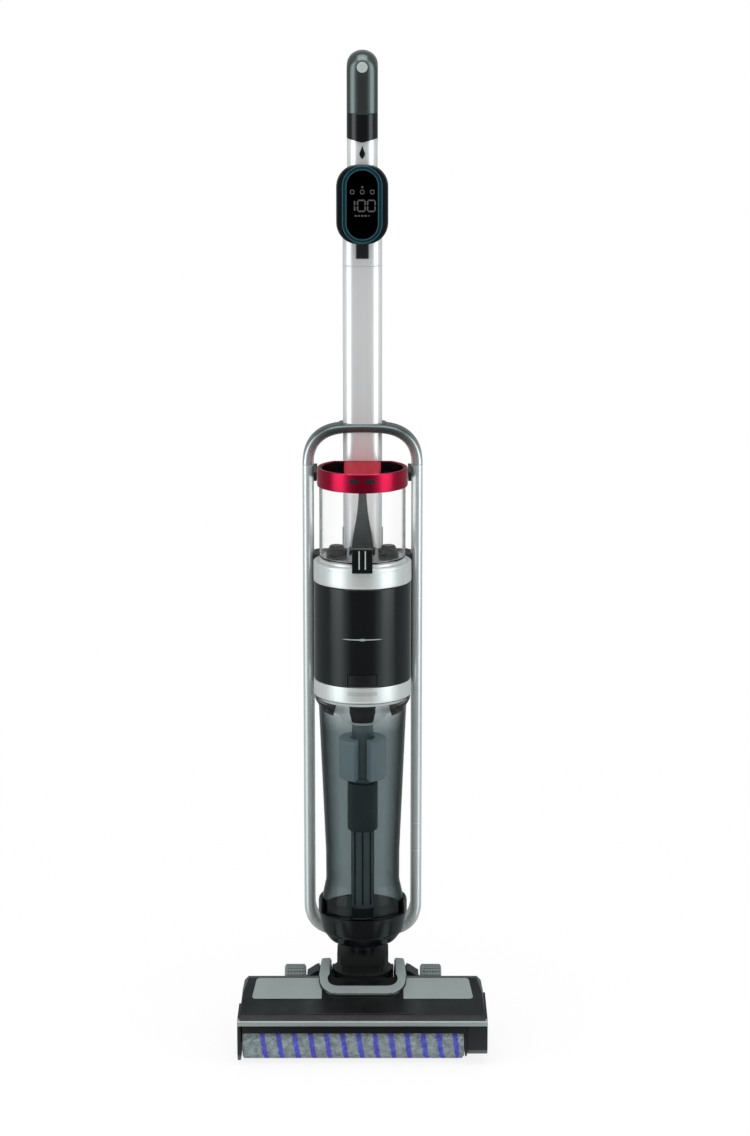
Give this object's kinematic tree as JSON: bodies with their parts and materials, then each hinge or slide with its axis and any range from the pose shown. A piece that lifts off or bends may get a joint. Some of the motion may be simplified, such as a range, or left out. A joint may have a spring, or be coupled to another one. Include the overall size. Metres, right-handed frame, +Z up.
{
  "type": "wet dry floor scrubber",
  "caption": "Upright cordless wet and dry floor washer: looped frame with clean and dirty water tanks and a motor, pole handle with display, and a powered microfibre roller head.",
  "frame": {"origin": "on the floor, under the middle of the overall box; the tanks' and motor's upright axis passes through it", "axes": "+Z up, -Y to the front where the roller is, +X to the right seen from the front"},
  "size_m": [0.279, 0.24, 1.11],
  "materials": {
    "gloss_black_plastic": "gloss",
    "satin_black_plastic": "satin",
    "dark_grey_handle": "gloss",
    "gunmetal_frame": "polished",
    "silver_metal": "polished",
    "metallic_grey_panel": "metallic paint",
    "anodised_aluminium": "anodised",
    "red_metallic_lid": "metallic gloss",
    "clear_tank_plastic": "clear",
    "smoked_tank_plastic": "clear",
    "light_grey_plastic": "satin",
    "blue-grey_plastic": "satin",
    "black_rubber": "matte",
    "grey_wheel_rubber": "matte",
    "microfibre_pile": "pile",
    "teal_light_ring": "gloss",
    "black_display_glass": "gloss",
    "steel": "brushed",
    "contact_metal": "plain",
    "green_circuit_board": "satin",
    "battery_wrap": "satin",
    "filter_paper": "matte"
  },
  "bodies": {
    "head": {"head_base": "satin_black_plastic", "head_hood": "gloss_black_plastic", "top_panel_left": "metallic_grey_panel", "top_panel_right": "metallic_grey_panel", "front_strip": "metallic_grey_panel", "left_end_plate": "satin_black_plastic", "right_end_cap": "satin_black_plastic", "squeegee": "black_rubber", "saddle_bezel": "metallic_grey_panel", "head_duct": "satin_black_plastic", "brush_motor": "steel", "drive_belt": "black_rubber", "pivot_pin_left": "steel", "pivot_pin_right": "steel"},
    "brush_drive": {"motor_pulley": "light_grey_plastic"},
    "roller": {"roller_core": "light_grey_plastic", "roller_pile": "microfibre_pile"},
    "left_wheel": {"wheel_hub_left": "satin_black_plastic", "wheel_tyre_left": "grey_wheel_rubber"},
    "right_wheel": {"wheel_hub_right": "satin_black_plastic", "wheel_tyre_right": "grey_wheel_rubber"},
    "neck": {"yoke": "satin_black_plastic"},
    "upright": {"cup_base": "gloss_black_plastic", "frame_rail_left": "silver_metal", "frame_rail_right": "silver_metal", "frame_arch": "gunmetal_frame", "pole": "anodised_aluminium", "back_housing": "satin_black_plastic", "motor_housing": "gloss_black_plastic", "upper_ring": "silver_metal", "lower_ring": "silver_metal", "suction_motor": "steel", "battery_pack": "battery_wrap", "circuit_board": "green_circuit_board", "water_pump": "steel", "charge_port": "contact_metal", "lid_bracket_left": "satin_black_plastic", "lid_bracket_right": "satin_black_plastic"},
    "fan_wheel": {"fan": "steel"},
    "tank_release": {"tank_release_button": "satin_black_plastic"},
    "clean_water_tank": {"clean_tank": "clear_tank_plastic", "tank_base": "satin_black_plastic"},
    "latch": {"tank_latch": "gloss_black_plastic"},
    "lid": {"tank_lid": "red_metallic_lid", "lid_plate": "satin_black_plastic"},
    "dirty_water_tank": {"dirty_tank": "smoked_tank_plastic", "suction_pipe": "light_grey_plastic", "separator": "light_grey_plastic", "filter": "filter_paper"},
    "float_ring": {"float": "blue-grey_plastic"},
    "handle": {"handle_loop": "dark_grey_handle", "grip_insert": "black_rubber", "handle_collar": "gloss_black_plastic", "upper_tube": "anodised_aluminium", "display_housing": "satin_black_plastic", "display_ring": "teal_light_ring", "display_glass": "black_display_glass"},
    "power_key": {"power_button": "light_grey_plastic"},
    "mode_key": {"mode_button": "satin_black_plastic"},
    "handle_release": {"pole_release_tab": "satin_black_plastic"}
  },
  "joints": [
    {"name": "recline", "type": "hinge", "parent": "head", "child": "neck", "pos_m": [0, 0.02, 0.05], "axis": [-1, 0, 0], "range_deg": [0, 55]},
    {"name": "steer", "type": "hinge", "parent": "neck", "child": "upright", "pos_m": [0, 0, 0.0953], "axis": [0, 0, 1], "range_deg": [-35, 35]},
    {"name": "roller_spin", "type": "hinge", "parent": "head", "child": "roller", "pos_m": [0, -0.092, 0.024], "axis": [1, 0, 0], "continuous": true},
    {"name": "brush_motor_spin", "type": "hinge", "parent": "head", "child": "brush_drive", "pos_m": [0, -0.0477, 0.024], "axis": [1, 0, 0], "continuous": true},
    {"name": "left_wheel_spin", "type": "hinge", "parent": "head", "child": "left_wheel", "pos_m": [-0.079, 0.065, 0.0268], "axis": [1, 0, 0], "continuous": true},
    {"name": "right_wheel_spin", "type": "hinge", "parent": "head", "child": "right_wheel", "pos_m": [0.079, 0.065, 0.0268], "axis": [1, 0, 0], "continuous": true},
    {"name": "fan_spin", "type": "hinge", "parent": "upright", "child": "fan_wheel", "pos_m": [0, 0, 0.41], "axis": [0, 0, 1], "continuous": true},
    {"name": "tank_release_press", "type": "slide", "parent": "upright", "child": "tank_release", "axis": [0, 1, 0], "range_m": [0, 0.002], "stiffness_N_per_m": 400},
    {"name": "clean_tank_out", "type": "slide", "parent": "upright", "child": "clean_water_tank", "axis": [0, -1, 0], "range_m": [0, 0.13]},
    {"name": "tank_latch_swing", "type": "hinge", "parent": "clean_water_tank", "child": "latch", "pos_m": [0, -0.0513, 0.572], "axis": [-1, 0, 0], "range_deg": [0, 12], "stiffness_Nm_per_rad": 0.2},
    {"name": "lid_lift", "type": "slide", "parent": "clean_water_tank", "child": "lid", "axis": [0, 0, 1], "range_m": [0, 0.02]},
    {"name": "dirty_tank_out", "type": "slide", "parent": "upright", "child": "dirty_water_tank", "axis": [0, -1, 0], "range_m": [0, 0.13]},
    {"name": "float_rise", "type": "slide", "parent": "dirty_water_tank", "child": "float_ring", "axis": [0, 0, 1], "range_m": [0, 0.015]},
    {"name": "handle_pull_off", "type": "slide", "parent": "upright", "child": "handle", "axis": [0, 0, 1], "range_m": [0, 0.085]},
    {"name": "power_press", "type": "slide", "parent": "handle", "child": "power_key", "axis": [0, 1, 0], "range_m": [0, 0.0012], "stiffness_N_per_m": 300},
    {"name": "mode_press", "type": "slide", "parent": "handle", "child": "mode_key", "axis": [0, 1, 0], "range_m": [0, 0.001], "stiffness_N_per_m": 300},
    {"name": "handle_release_press", "type": "slide", "parent": "handle", "child": "handle_release", "axis": [0, 1, 0], "range_m": [0, 0.0015], "stiffness_N_per_m": 400}
  ],
  "couplings": [
    {"joint": "brush_motor_spin", "follows": "roller_spin", "ratio": 1.5}
  ]
}
